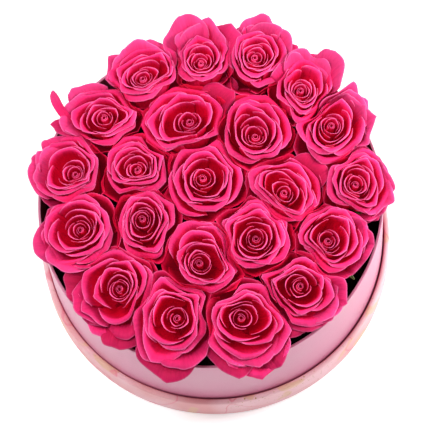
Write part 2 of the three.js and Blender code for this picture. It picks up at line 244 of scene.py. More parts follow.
def wall_profile(outer, thickness, bottom, top, corner, steps):
    """The profile of a hoop of board with rounded edges and evenly split sides."""
    inner = outer - thickness
    ring = rounded([(inner, bottom), (outer, bottom), (outer, top), (inner, top)], corner)
    full = []
    for k, point in enumerate(ring):
        following = ring[(k + 1) % len(ring)]
        parts = steps if abs(following[1] - point[1]) > EVEN_SIDE else 1
        for part in range(parts):
            t = part / parts
            full.append((point[0] + (following[0] - point[0]) * t, point[1] + (following[1] - point[1]) * t))
    return full


def progress(value, start, end):
    """How far a value has come from a start to an end, kept to 0 to 1."""
    return np.clip((value - start) / (end - start), 0, 1)


def add_node(tree, kind, **values):
    """A node of a kind, with the given values on its inputs or on the node itself."""
    node = tree.nodes.new("ShaderNode" + kind)
    for word, value in values.items():
        socket = node.inputs.get(word.replace("_", " "))
        if socket is None:
            setattr(node, word, value)
        else:
            socket.default_value = value
    return node


def feed(tree, socket, value):
    """Links a socket to another one, or gives it a plain value."""
    if isinstance(value, bpy.types.NodeSocket):
        tree.links.new(value, socket)
    else:
        socket.default_value = value


def texture(tree, kind, vector, **values):
    """The value of a texture that is laid out by a vector."""
    node = add_node(tree, "Tex" + kind, **values)
    tree.links.new(vector, node.inputs["Vector"])
    return node.outputs[0]


def mapped(tree, vector, **values):
    """A vector that is moved or stretched."""
    node = add_node(tree, "Mapping", **values)
    tree.links.new(vector, node.inputs["Vector"])
    return node.outputs["Vector"]


def worked_out(tree, operation, *values):
    """The result of a mathematical operation on one or two values."""
    node = add_node(tree, "Math", operation=operation)
    for socket, value in zip(node.inputs, values):
        feed(tree, socket, value)
    return node.outputs[0]


def brightened(tree, colour, share):
    """A colour that is scaled by a value."""
    node = add_node(tree, "VectorMath", operation="SCALE")
    tree.links.new(colour, node.inputs[0])
    tree.links.new(share, node.inputs["Scale"])
    return node.outputs[0]


def bumped(tree, height, strength, distance):
    """The normal of a fine relief that follows a height."""
    node = add_node(tree, "Bump", Strength=strength, Distance=distance)
    tree.links.new(height, node.inputs["Height"])
    return node.outputs["Normal"]


def mixed(tree, factor, first, second):
    """A mix of two colours."""
    node = add_node(tree, "Mix", data_type="RGBA")
    feed(tree, node.inputs[0], factor)
    feed(tree, node.inputs[6], first)
    feed(tree, node.inputs[7], second)
    return node.outputs[2]


def ranged(tree, value, low, high, to_low=0.0, to_high=1.0):
    """A value's place between low and high, kept to the given range."""
    node = tree.nodes.new("ShaderNodeMapRange")
    tree.links.new(value, node.inputs["Value"])
    node.inputs["From Min"].default_value = low
    node.inputs["From Max"].default_value = high
    node.inputs["To Min"].default_value = to_low
    node.inputs["To Max"].default_value = to_high
    return node.outputs["Result"]


# The paper's surface is the same for the printed and the plain paper: fine fibres, faint clouds.
paper_group = bpy.data.node_groups.new("paper_surface", "ShaderNodeTree")
paper_group.interface.new_socket("Colour", in_out="INPUT", socket_type="NodeSocketColor")
for word, kind in (("Colour", "Color"), ("Roughness", "Float"), ("Normal", "Vector")):
    paper_group.interface.new_socket(word, in_out="OUTPUT", socket_type="NodeSocket" + kind)
paper_in = paper_group.nodes.new("NodeGroupInput")
paper_out = paper_group.nodes.new("NodeGroupOutput")
place = add_node(paper_group, "TexCoord").outputs["Object"]
fibres = texture(paper_group, "Noise", place, Scale=900.0, Detail=4.0, Roughness=0.7)
clouds = texture(paper_group, "Noise", place, Scale=28.0, Detail=3.0, Roughness=0.5)
mottle = ranged(paper_group, fibres, 0.3, 0.7, 0.95, 1.03)
patch = ranged(paper_group, clouds, 0.3, 0.7, 0.97, 1.02)
shade = worked_out(paper_group, "MULTIPLY", mottle, patch)
paper_group.links.new(brightened(paper_group, paper_in.outputs["Colour"], shade), paper_out.inputs["Colour"])
paper_group.links.new(ranged(paper_group, clouds, 0.2, 0.8, 0.42, 0.56), paper_out.inputs["Roughness"])
paper_group.links.new(bumped(paper_group, fibres, 0.12, 0.0002), paper_out.inputs["Normal"])


def finish_paper(tree, shader, colour):
    """Joins the paper's surface to a shader, for a colour that is a socket or a value."""
    surface = tree.nodes.new("ShaderNodeGroup")
    surface.node_tree = paper_group
    feed(tree, surface.inputs["Colour"], colour)
    tree.links.new(surface.outputs["Colour"], shader.inputs["Base Color"])
    tree.links.new(surface.outputs["Roughness"], shader.inputs["Roughness"])
    tree.links.new(surface.outputs["Normal"], shader.inputs["Normal"])
    shader.inputs["Specular IOR Level"].default_value = 0.35


print_material, tree, shader = new_material("printed_paper")
place = add_node(tree, "TexCoord").outputs["Object"]
moved = mapped(tree, place, Location=(0.31, 0.17, 0.05))
clouds = texture(tree, "Noise", place, Scale=17.0, Detail=2.0, Roughness=0.45, Distortion=0.4)
patches = texture(tree, "Noise", moved, Scale=38.0, Detail=1.0, Roughness=0.3, Distortion=0.6)
veins = texture(tree, "Noise", moved, Scale=12.0, Detail=1.5, Roughness=0.4, Distortion=1.2)
specks = texture(tree, "Voronoi", place, Scale=210.0, Randomness=1.0)
printed = mixed(tree, ranged(tree, clouds, 0.38, 0.62), BLUSH, PALE_BLUSH)
printed = mixed(tree, ranged(tree, patches, 0.61, 0.635, 0.0, 0.8), printed, TAN)
from_line = worked_out(tree, "ABSOLUTE", worked_out(tree, "SUBTRACT", veins, 0.5))
printed = mixed(tree, ranged(tree, from_line, 0.004, 0.010, 0.75, 0.0), printed, ROSE_LINE)
dots = ranged(tree, specks, 0.12, 0.2, 1.0, 0.0)
speck_mask = worked_out(tree, "MULTIPLY", dots, ranged(tree, clouds, 0.55, 0.62))
printed = mixed(tree, speck_mask, printed, GOLD)
# Painted shade: the band's inner face is mixed to dark red for the shade in the thin gap.
inside = add_node(tree, "Attribute", attribute_name="inside").outputs["Fac"]
finish_paper(tree, shader, mixed(tree, inside, printed, GAP_SHADE_LINING))


def paper_lap(angle, radius):
    """The radial step of the paper's seam, where its ends overlap, on the outside of a board."""
    away = (angle - SEAM_ANGLE + math.pi) % (2 * math.pi) - math.pi
    return np.clip((SEAM_LAP / 2 - np.abs(away * radius)) / SEAM_SLOPE, 0, 1) * SEAM_STEP


def paper_fold(height, start):
    """The radial step inside a board, above the edge of the paper that is turned over its rim."""
    return progress(height, start, start + FOLD_SLOPE) * -FOLD_STEP


def lid_bumps(angle, radius, height):
    """The seam outside, the paper's edge and the stand-off inside, and the slight waves of board."""
    outside = radius > LID_RADIUS - LID_BAND_THICKNESS / 2
    waves = 0.12 * np.sin(3 * angle + 0.4) + 0.08 * np.sin(7 * angle + 1.9)
    stand_off = STAND_OFF * np.clip(np.cos(angle - STAND_OFF_ANGLE), 0, 1) ** 2
    inside = paper_fold(height, LID_HEIGHT - TURNED_IN) + stand_off
    return waves * (height / LID_HEIGHT) + np.where(outside, paper_lap(angle, radius), inside)


band_profile = wall_profile(LID_RADIUS, LID_BAND_THICKNESS, 0.0, LID_HEIGHT, BAND_CORNER, BAND_STEPS)
points, faces = turned(band_profile, BOARD_SEGMENTS, lid_bumps)
even_points, _ = turned(band_profile, BOARD_SEGMENTS)
from_axis = np.hypot(even_points[:, 0], even_points[:, 1])
# Painted shade: how much of the dark red goes on each point, full on the band's inner face.
gap_shaded = np.clip((LID_RADIUS - LID_BAND_THICKNESS + GAP_SHADE_EDGE - from_axis) / GAP_SHADE_FADE, 0, 1)
lid_band = mesh_object("lid_band_wrapped", print_material, points, faces, attributes={"inside": gap_shaded})
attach(lid_band, "root")
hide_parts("lid_band")

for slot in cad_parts["lid_panel"].material_slots:
    slot.material = print_material


# Box
# A tube of thin board stands in the lid on its own round base. Both are wrapped in plain pink
# paper with a slight gloss, which is folded over the rim and ends inside the box.

BOX_RADIUS = 147.2
BOX_BOTTOM = 2.5
RIM_HEIGHT = 133.0
WALL_THICKNESS = 2.2
WALL_CORNER = 0.7
WALL_STEPS = 24
RIM_FOLD = 18.0

PINK_PAPER = (0.56, 0.168, 0.283, 1)

pink_material, tree, shader = new_material("pink_paper", Coat_Weight=0.4, Coat_Roughness=0.25)
finish_paper(tree, shader, PINK_PAPER)


def wall_bumps(angle, radius, height):
    """The seam outside, the fold's edge inside, and slight waves that grow towards the open rim."""
    outside = radius > BOX_RADIUS - WALL_THICKNESS / 2
    waves = 0.18 * np.sin(2 * angle + 0.9) + 0.08 * np.sin(5 * angle + 2.3)
    inside = paper_fold(height, RIM_HEIGHT - RIM_FOLD)
    return waves * (height / RIM_HEIGHT) + np.where(outside, paper_lap(angle, radius), inside)


box_profile = wall_profile(BOX_RADIUS, WALL_THICKNESS, BOX_BOTTOM, RIM_HEIGHT, WALL_CORNER, WALL_STEPS)
box_wall = mesh_object("box_wall_wrapped", pink_material, *turned(box_profile, BOARD_SEGMENTS, wall_bumps))
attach(box_wall, "root")
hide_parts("box_wall")

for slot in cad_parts["box_base"].material_slots:
    slot.material = pink_material


# Foam
# Black floral foam fills the lower part of the box. It is a brittle foam of fine cells, cut with a
# knife, so its top is slightly uneven and its edge is crumbled.

FOAM_BOTTOM = 5.0
FOAM_TOP = 88.0
FOAM_RADIUS = 144.0
FOAM_MIDDLE = 0.4
FOAM_BEVEL = (1.0, 4.0)
FOAM_RINGS = 40
FOAM_SEGMENTS = 144
FOAM_SEED = 5
CUT_ROUGHNESS = 0.35
CRUMBLED_WIDTH = 3.0
CRUMBLED_DEPTH = 2.0

FOAM_BLACK = (0.006, 0.004, 0.004, 1)
FOAM_DUST = (0.022, 0.014, 0.014, 1)

foam_material, tree, shader = new_material("black_foam", Roughness=0.95, Specular_IOR_Level=0.1)
place = add_node(tree, "TexCoord").outputs["Object"]
cells = texture(tree, "Voronoi", place, Scale=700.0, Randomness=1.0)
dust = texture(tree, "Noise", place, Scale=90.0, Detail=4.0, Roughness=0.6)
foam_colour = mixed(tree, ranged(tree, dust, 0.35, 0.75), FOAM_BLACK, FOAM_DUST)
tree.links.new(foam_colour, shader.inputs["Base Color"])
tree.links.new(bumped(tree, cells, 0.8, 0.0008), shader.inputs["Normal"])


def foam_mesh():
    """A thick disc whose top is uneven and whose upper edge is crumbled."""
    rng = np.random.default_rng(FOAM_SEED)
    wall_top = FOAM_TOP - FOAM_BEVEL[1]
    profile = [(FOAM_MIDDLE, FOAM_BOTTOM), (FOAM_RADIUS, FOAM_BOTTOM), (FOAM_RADIUS, wall_top)]
    for share in 1 - np.arange(FOAM_RINGS) / (FOAM_RINGS - 1):
        profile.append((FOAM_MIDDLE + (FOAM_RADIUS - FOAM_BEVEL[0] - FOAM_MIDDLE) * share, FOAM_TOP))
    points, faces = turned(profile, FOAM_SEGMENTS)
    top = points[:, 2] == FOAM_TOP
    points[top, 2] -= 0.2 + np.abs(rng.normal(0, CUT_ROUGHNESS, top.sum()))
    edge = top & (np.hypot(points[:, 0], points[:, 1]) > FOAM_RADIUS - CRUMBLED_WIDTH)
    points[edge, 2] -= rng.uniform(0, CRUMBLED_DEPTH, edge.sum())
    return points, faces


foam = mesh_object("foam_block", foam_material, *foam_mesh())
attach(foam, "root")
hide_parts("foam")


# Stems, hips and sepals
# Each rose is a cut bloom whose green stem is pushed down into the foam. The stem swells into a hip
# under the petals, and five narrow sepals curl out from its top, with a longer one on a few roses. The
# hearts of the roses lie on a low dome, and the outer roses lean outwards.

DOME_HEIGHT = 175.0
DOME_DROP = 14.0
DOME_REACH = 130.0
OUTER_LEAN = 13.0

# Each rose has its place, its turn in degrees and its size. Its cup and its whole spread of petals are
# ellipses, with a shift, two stretches and a turn. Its long guard petals, those at its side, its
# narrow ones and its long sepals have a direction, reach and height each. It may go without some of
# the nested petals.
ROSES = [
    dict(at=(-44, 108), turn=20, size=1.0, long=[(64, 39, -8), (138, 34, -10)],
         cup=(4.5, 4.0, 1.25, 0.83, 13), spread=(1.5, 10.5, 1.07, 0.86, 13)),
    dict(at=(7, 115), turn=64, size=0.9, long=[(50, 46, -12), (103, 49, -8)], side=[(305, 41, -13)],
         cup=(0.5, 4.0, 0.9, 0.98, -7), spread=(2.5, 8.0, 0.82, 0.84, -7)),
    dict(at=(-81, 77), turn=5, size=1.0, without=(13, 5), long=[(134, 39, -10), (180, 42, -12)],
         narrow=[(142, 51, -5)], cup=(1.5, -1.0, 1.25, 0.91, -7), spread=(-1.0, 4.5, 1.09, 0.84, -7)),
    dict(at=(-9, 61), turn=0, size=1.06, without=(5, 7, 12, 13), side=[(40, 48, -14)],
         cup=(-2.5, 1.0, 1.28, 1.03, 23), spread=(-6.0, 5.0, 1.18, 0.97, 3)),
    dict(at=(-111, 30), turn=78, size=1.0, without=(12, 7), long=[(116, 42, -10), (152, 41, -12)],
         cup=(-4.0, 3.5, 1.12, 1.05, -7), spread=(-7.0, 8.5, 1.0, 0.97, -7)),
    dict(at=(-58, 24), turn=63, size=0.97, cup=(-1.0, 3.5, 1.08, 0.91, -7),
         spread=(-1.5, 6.5, 0.98, 0.95, -7)),
    dict(at=(-4, 8), turn=55, size=1.04, without=(13,), cup=(2.5, -0.5, 1.04, 1.12, -7),
         spread=(2.5, 0.5, 1.03, 1.16, -7)),
    dict(at=(-112, -20), turn=90, size=1.0, without=(12, 9), long=[(202, 41, -12), (250, 30, -16)],
         sepals=[(226, 33, -24)], cup=(-2.5, 2.0, 1.15, 1.02, -7), spread=(-3.0, 3.0, 1.0, 0.98, -7)),
    dict(at=(-59, -20), turn=0, size=0.96, without=(8,), cup=(1.0, -2.5, 0.9, 1.2, -7),
         spread=(3.0, -3.0, 0.85, 1.1, -7)),
    dict(at=(54, 115), turn=71, size=1.0, long=[(24, 37, -12), (66, 41, -8)], side=[(221, 44, -15)],
         cup=(2.5, 1.5, 0.85, 0.92, -7), spread=(3.0, 5.0, 0.9, 1.1, -7)),
    dict(at=(89, 79), turn=81, size=0.97, without=(12, 9), long=[(46, 46, -8), (90, 38, -10)],
         cup=(1.0, 1.0, 0.7, 0.96, -7), spread=(3.5, 3.5, 0.82, 1.08, -7)),
    dict(at=(45, 40), turn=26, size=1.04, without=(6, 12), cup=(-1.0, 5.0, 1.15, 0.95, -67),
         spread=(2.0, 8.5, 1.04, 0.95, -67)),
    dict(at=(111, 44), turn=60, size=1.0, without=(12, 6), long=[(6, 36, -10), (62, 43, -10)],
         side=[(237, 44, -15)], cup=(0.0, -1.0, 1.3, 0.88, 58), spread=(2.5, 4.0, 1.18, 1.03, 58)),
    dict(at=(63, -13), turn=12, size=0.99, without=(7, 13), side=[(42, 45, -13)],
         cup=(-0.5, 2.0, 1.42, 0.86, -55), spread=(1.5, 5.5, 1.14, 0.92, -52)),
    dict(at=(124, -11), turn=84, size=0.98, long=[(302, 31, -16), (354, 32, -10)], sepals=[(290, 31, -22)],
         cup=(1.0, 1.5, 0.87, 1.14, -7), spread=(4.0, 3.5, 0.92, 1.12, -7)),
    dict(at=(-85, -76), turn=37, size=1.04, without=(10, 12),
         long=[(158, 48, -18), (211, 36, -16), (262, 47, -18)], cup=(-0.5, 1.0, 0.76, 0.84, -7),
         spread=(-2.5, 5.0, 0.97, 0.93, -7)),
    dict(at=(-40, -108), turn=52, size=1.02, without=(12, 13), long=[(245, 49, -20)],
         side=[(200, 37, -18)], cup=(-2.5, 1.0, 1.12, 1.16, -7), spread=(-4.0, 3.5, 1.03, 1.12, -7)),
    dict(at=(-16, -65), turn=17, size=1.0, without=(13, 4), cup=(4.0, 0.0, 1.15, 0.93, -32),
         spread=(5.5, 7.5, 1.08, 1.02, -47)),
    dict(at=(34, -50), turn=68, size=1.02, cup=(-1.5, 0.5, 1.14, 1.16, -52),
         spread=(0.5, 4.5, 1.06, 0.97, -37)),
    dict(at=(94, -58), turn=30, size=1.0, without=(13, 8), long=[(350, 36, -12)], sepals=[(306, 38, -24)],
         cup=(2.0, 2.0, 1.02, 1.16, -7), spread=(5.5, 3.5, 1.07, 1.0, -7)),
    dict(at=(66, -94), turn=75, size=1.0, without=(12, 13), long=[(288, 35, -16), (338, 38, -12)],
         side=[(256, 39, -17)], sepals=[(262, 38, -25)], cup=(-2.5, -0.5, 1.12, 0.88, -17),
         spread=(-1.5, -2.5, 1.16, 0.97, -7)),
    dict(at=(13, -115), turn=44, size=1.04, without=(13,), long=[(258, 46, -18), (306, 47, -18)],
         side=[(338, 46, -17)], cup=(2.5, 0.5, 1.32, 0.98, -7), spread=(6.0, -6.0, 1.18, 1.14, -7)),
]

for rose in ROSES:
    for word in ("long", "side", "narrow", "sepals", "without"):
        rose.setdefault(word, [])
    x, y = rose["at"]
    share = math.hypot(x, y) / DOME_REACH
    rose["heart"] = np.array([x, y, DOME_HEIGHT - DOME_DROP * share ** 2])
    tilt = math.radians(OUTER_LEAN * share)
    away = Vector((x, y, 0)).normalized()
    rose["axis"] = np.array([away.x * math.sin(tilt), away.y * math.sin(tilt), math.cos(tilt)])
    rose["matrix"] = np.array(Matrix.Rotation(tilt, 3, Vector((0, 0, 1)).cross(away)))


def in_place(rose, points):
    """Points of a rose's own frame, moved to the rose's place in the box."""
    return points * rose["size"] @ rose["matrix"].T + rose["heart"]


def closed_sheet(middle, thickness, first=0):
    """A closed sheet about a grid of points, thinner along its last row.

    Returns its points and faces, which faces are flat, and each point's distance to the last row
    and how far its normal points up.
    """
    along = np.gradient(middle, axis=0)
    across = np.gradient(middle, axis=1)
    normal = np.cross(across, along)
    normal /= np.maximum(np.linalg.norm(normal, axis=-1, keepdims=True), 1e-9)
    to_edge = np.linalg.norm(middle - middle[-1:], axis=-1)
    half = thickness / 2 * (0.65 + 0.35 * progress(to_edge, 0, 3))[..., None]
    rows, columns = to_edge.shape
    size = rows * columns
    front = np.arange(size).reshape(rows, columns) + first
    border = np.concatenate([front[0], front[1:, -1], front[-1, -2::-1], front[-2:0:-1, 0]])
    following = np.roll(border, -1)
    faces = np.vstack([
        grid_faces(rows, columns, first),
        grid_faces(rows, columns, first + size)[:, ::-1],
        np.stack([border, border + size, following + size, following], -1),
    ])
    points = np.concatenate([middle + normal * half, middle - normal * half]).reshape(-1, 3)
    flat = np.arange(len(faces)) >= len(faces) - len(border)
    upward = np.concatenate([normal[..., 2].ravel(), -normal[..., 2].ravel()])
    return points, faces, flat, np.tile(to_edge.ravel(), 2), upward


# Radius and height of the stem and the hip, from the cut end upwards.
STEM_PROFILE = [
    (0.05, -102.0), (2.5, -102.0), (3.0, -101.4), (3.0, -75.0), (2.8, -60.0), (2.6, -51.0), (3.1, -49.0),
    (4.4, -46.0), (5.4, -43.0), (5.7, -41.0), (5.3, -39.6), (4.6, -38.3), (0.05, -38.0),
]
STEM_SIDES = 14
STEM_SEED = 700
SEPALS = 5
SEPAL_GRID = (6, 10)
SEPAL_ROOT = (5.0, -38.0)
SEPAL_LENGTH = 17.0
SEPAL_WIDTH = 5.2
SEPAL_THICKNESS = 0.7

STEM_GREEN = (0.045, 0.105, 0.022, 1)
LEAF_GREEN = (0.11, 0.15, 0.035, 1)
OLIVE = (0.34, 0.30, 0.10, 1)

green_material, tree, shader = new_material("rose_green", Roughness=0.55)
place = add_node(tree, "TexCoord").outputs["Object"]
tone = texture(tree, "Noise", place, Scale=120.0, Detail=3.0, Roughness=0.6)
upright = mapped(tree, place, Scale=(1.0, 1.0, 0.12))
streaks = texture(tree, "Noise", upright, Scale=300.0, Detail=2.0, Roughness=0.5)
green = mixed(tree, ranged(tree, tone, 0.35, 0.65), STEM_GREEN, LEAF_GREEN)
green = mixed(tree, ranged(tree, streaks, 0.5, 0.75, 0.0, 0.6), green, OLIVE)
tree.links.new(green, shader.inputs["Base Color"])
tree.links.new(bumped(tree, streaks, 0.3, 0.0003), shader.inputs["Normal"])


def leaf_grid(columns, rows, start=-1):
    """The places across a petal or sepal, from its start to 1, and those up it, from 0 to 1."""
    return np.linspace(start, 1, columns + 1)[None, :], np.linspace(0, 1, rows + 1)[:, None]


def level_way(direction):
    """The level unit vector in a direction in degrees."""
    return np.array([math.cos(math.radians(direction)), math.sin(math.radians(direction))])


def calyx_mesh(rose, rng):
    """The stem, the hip and the sepals of one rose, in the rose's own frame."""
    points, faces = turned(STEM_PROFILE, STEM_SIDES)
    pieces = [(points, faces, np.zeros(len(faces), dtype=bool))]
    count = len(points)
    across, along = leaf_grid(*SEPAL_GRID)
    for k in range(SEPALS + len(rose["sepals"])):
        turn = math.radians(rose["turn"] + 360 / SEPALS * k) + rng.normal(0, 0.08)
        length = SEPAL_LENGTH * rng.uniform(0.85, 1.1)
        bend = rng.uniform(1.0, 2.0) * along ** 1.5
        width = SEPAL_WIDTH / 2 * np.sin(math.pi * (0.28 + 0.72 * along)) ** 0.8 + 0.25
        forward = SEPAL_ROOT[0] + length * along * (1 - 0.28 * bend) + 0 * across
        sideways = across * width
        height = SEPAL_ROOT[1] - 0.42 * length * bend * along ** 1.2 + 0.7 * across ** 2 * (1 - along)
        if k >= SEPALS:
            direction, reach, tip_height = rose["sepals"][k - SEPALS]
            turn = math.radians(direction)
            climb = tip_height - SEPAL_ROOT[1]
            forward = SEPAL_ROOT[0] + (reach - SEPAL_ROOT[0]) * along + 0 * across
            height = SEPAL_ROOT[1] + climb * np.sin(along * math.pi / 2) + 1.2 * across ** 2
            sideways = sideways * (1.3 + 0.25 * np.sin(along * 26))
        middle = np.stack([
            forward * math.cos(turn) - sideways * math.sin(turn),
            forward * math.sin(turn) + sideways * math.cos(turn),
            height,
        ], -1)
        points, faces, flat, _, _ = closed_sheet(middle, SEPAL_THICKNESS, count)
        pieces.append((points, faces, flat))
        count += len(points)
    return [np.concatenate(part) for part in zip(*pieces)]


for number, rose in enumerate(ROSES, 1):
    points, faces, flat = calyx_mesh(rose, np.random.default_rng(STEM_SEED + number))
    calyx = mesh_object(f"rose_{number:02d}_stem", green_material, in_place(rose, points), faces, flat)
    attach(calyx, "root")
    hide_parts(f"calyx_{number:02d}")


# Rose petals
# Each rose has a rolled heart inside up to eighteen thin, soft nested petals, which wind around it by
# the golden angle and roll outwards at their lips. Five broad guard petals lie below them, and further
# ones at the side of some roses and under the long guards that reach over the rim of the box.

PETAL_SEED = 300
PETAL_THICKNESS = 0.42
GOLDEN_ANGLE = 137.508
GUARD_GRID = (30, 15)
OUTER_GRID = (24, 12)
INNER_GRID = (24, 10)
BUD_RADIUS = 5.6
CUP_RADIUS = 17.5
SPREAD_RADIUS = 30.0

# Edge radius, height of the crest, width of the lip, its drop, and half the angle of each petal,
# from the outermost to the heart.
LIPS = [
    (31.2, -6.8, 4.8, 3.6, 58),
    (30.2, -5.8, 4.6, 3.2, 58),
    (29.0, -4.8, 4.4, 2.9, 60),
    (27.6, -3.9, 4.4, 2.6, 60),
    (26.2, -3.0, 4.2, 2.3, 62),
    (24.8, -2.2, 4.0, 2.0, 62),
    (23.4, -1.5, 3.8, 1.7, 64),
    (22.0, -0.9, 3.4, 1.4, 66),
    (20.8, -0.4, 3.0, 1.2, 68),
    (19.6, 0.0, 2.6, 0.9, 70),
    (18.5, 0.2, 2.2, 0.7, 72),
    (17.0, 0.0, 1.6, 0.4, 74),
    (15.4, -0.4, 1.4, 0.3, 78),
    (13.4, -0.9, 1.2, 0.2, 84),
    (11.4, -1.3, 1.0, 0.1, 90),
    (9.6, -1.6, 0.9, 0.0, 96),
    (7.9, -1.9, 0.7, -0.1, 102),
    (6.4, -2.1, 0.5, -0.2, 108),
]


def ellipse(long_side, short_side, turn):
    """The matrix that stretches level points by two factors along turned axes."""
    c, s = level_way(turn)
    rotation = np.array([[c, -s], [s, c]])
    return rotation @ np.diag([long_side, short_side]) @ rotation.T


def reach_towards(rose, way):
    """How far the rose's spread reaches in level directions."""
    stretched = way @ np.linalg.inv(ellipse(*rose["spread"][2:]))
    return SPREAD_RADIUS * rose["size"] / np.hypot(stretched[:, 0], stretched[:, 1])


def centre_at(rose, heights):
    """The middle of the rose's spread at some heights."""
    along = (heights - rose["heart"][2]) / rose["axis"][2]
    return rose["heart"][:2] + rose["axis"][:2] * along[:, None] + np.array(rose["spread"][:2])


# Neighbours share the space between them along a wavy border, which slopes through a band of heights.
SHARE_SLOPE = 0.4
SHARE_DEPTH = 12.0
SHARE_WAVE = 2.2
SHARE_WAVE_LENGTH = 7.5
NEIGHBOUR_REACH = 120
KNEE = 0.5
RIM_BAND = 6.0
RIM_LIFT = 2.0


def keep_to_share(index, points, edge, margin, rise):
    """Draws a rose's petals in, up or down, where its widest ones would grow into its neighbours."""
    rose = ROSES[index]
    centre = centre_at(rose, points[:, 2])
    offset = points[:, :2] - centre
    radius = np.maximum(np.hypot(offset[:, 0], offset[:, 1]), 1e-9)
    limit = np.full(len(points), 1e3)
    for other_index, other in enumerate(ROSES):
        if other_index == index:
            continue
        way = centre_at(other, points[:, 2]) - centre
        apart = np.hypot(way[:, 0], way[:, 1])
        if apart.min() > NEIGHBOUR_REACH:
            continue
        unit = way / apart[:, None]
        towards = (offset * unit).sum(1) / radius
        order = 1 if index < other_index else -1
        lean = order if (index + other_index) % 2 == 0 else -order
        border_height = (rose["heart"][2] + other["heart"][2]) / 2 - SHARE_DEPTH
        above = np.clip(points[:, 2] - border_height, -SHARE_DEPTH, SHARE_DEPTH)
        aside = order * (offset[:, 0] * unit[:, 1] - offset[:, 1] * unit[:, 0])
        wave = SHARE_WAVE * order * np.sin(aside / SHARE_WAVE_LENGTH + 1.7 * (index + other_index))
        mine = reach_towards(rose, unit)
        theirs = reach_towards(other, unit)
        border = apart * mine / (mine + theirs) + lean * SHARE_SLOPE * above + wave - margin
        reachable = border / np.maximum(towards, 0.01)
        limit = np.where(towards > 0.01, np.minimum(limit, reachable), limit)
    widest = np.maximum(reach_towards(rose, offset / radius[:, None]) * edge / SPREAD_RADIUS, limit)
    knee = limit * KNEE
    pressed = knee + (radius - knee) * (limit - knee) / (widest - knee)
    pressed = np.where(radius > knee, pressed, radius)
    moved = points.copy()
    moved[:, :2] = centre + offset * (pressed / radius)[:, None]
    moved[:, 2] += rise * (radius - pressed)
    over_rim = np.hypot(moved[:, 0], moved[:, 1]) > BOX_RADIUS - WALL_THICKNESS - RIM_BAND
    moved[:, 2] = np.where(over_rim, np.maximum(moved[:, 2], RIM_HEIGHT + RIM_LIFT), moved[:, 2])
    return moved


def curve(points, share):
    """Places on a smooth line through points, at shares of its length from 0 to 1."""
    knots = np.array(points, float)
    knots = np.vstack([2 * knots[0] - knots[1], knots, 2 * knots[-1] - knots[-2]])
    fine = []
    for k in range(1, len(knots) - 2):
        a, b, c, d = knots[k - 1:k + 3]
        for t in np.linspace(0, 1, 12, endpoint=False):
            bend = (2 * a - 5 * b + 4 * c - d) * t ** 2 + (3 * b - a - 3 * c + d) * t ** 3
            fine.append(b + 0.5 * ((c - a) * t + bend))
    fine.append(knots[-2])
    fine = np.array(fine)
    steps = np.linalg.norm(np.diff(fine, axis=0), axis=1)
    length = np.concatenate([[0], np.cumsum(steps)]) / steps.sum()
    return np.interp(share, length, fine[:, 0]), np.interp(share, length, fine[:, 1])


def blend(first, second, share):
    """A value or array between two, by a share of 0 to 1."""
    return first + (second - first) * share


def long_guard(rose, petal):
    """A long guard petal's direction, reach and height in the rose's own frame."""
    direction, reach, height = petal
    tip = rose["matrix"].T @ np.array([*(reach * level_way(direction)), height]) / rose["size"]
    direction = math.degrees(math.atan2(tip[1], tip[0])) % 360
    return {"direction": direction, "reach": math.hypot(tip[0], tip[1]), "height": tip[2]}


# Radius and height along the middle of a long guard petal and of a plain one, from root to edge.
GUARD_LINE = [(7, -38), (17, -31), (25.0, -21), (29.5, -16.0), (33.5, -13.5), (36.5, -14.5)]
UPRIGHT_LINE = [(7, -38), (17, -31), (25.0, -24), (29.5, -19.0), (33.0, -15.0), (35.5, -13.0)]
GUARD_PETALS = 5
GUARD_OVERLAP = 1.35
GUARD_FLANK = 1.6
SIDE_HALF_ANGLE = 34
SKIRT_HALF_ANGLE = 50
SKIRT_FLANK = 1.2
SKIRT_TURN = 22.0
SKIRT_SHARE = 0.55
SKIRT_INSIDE = (31.0, -6.0)
GAPS_INSIDE = 125.0
PLAIN_GUARD_SHADE = 0.2


def guard_directions(rose):
    """The rose's long guard petals, with plain ones spread over the gaps between them."""
    long = [long_guard(rose, petal) for petal in rose["long"]] or [{"direction": rose["turn"]}]
    around = []
    left = GUARD_PETALS - len(long)
    for k, petal in enumerate(long):
        following = long[(k + 1) % len(long)]
        gap = (following["direction"] - petal["direction"]) % 360 or 360.0
        fitting = max(min(left, int(gap * GUARD_PETALS / 360 + 0.5) - 1), 0)
        fill = fitting if k + 1 < len(long) else left
        around.append(petal)
        for step in range(1, fill + 1):
            around.append({"direction": petal["direction"] + gap * step / (fill + 1)})
        left -= fill
    return around


def gap_shade(rose, direction):
    """The painted shade of a plain guard petal that lies in a gap between roses, which deepens and darkens
    its colour.
    """
    edge = rose["at"] + level_way(direction) * SPREAD_RADIUS
    return PLAIN_GUARD_SHADE if np.linalg.norm(edge) < GAPS_INSIDE else 0


def guard(petal, line, flanks, widths, shade=0):
    """The whole shape of a guard petal, and its painted shade."""
    return dict(petal, line=line, edge=SPREAD_RADIUS, guard=True, flanks=flanks, widths=widths, shade=shade)


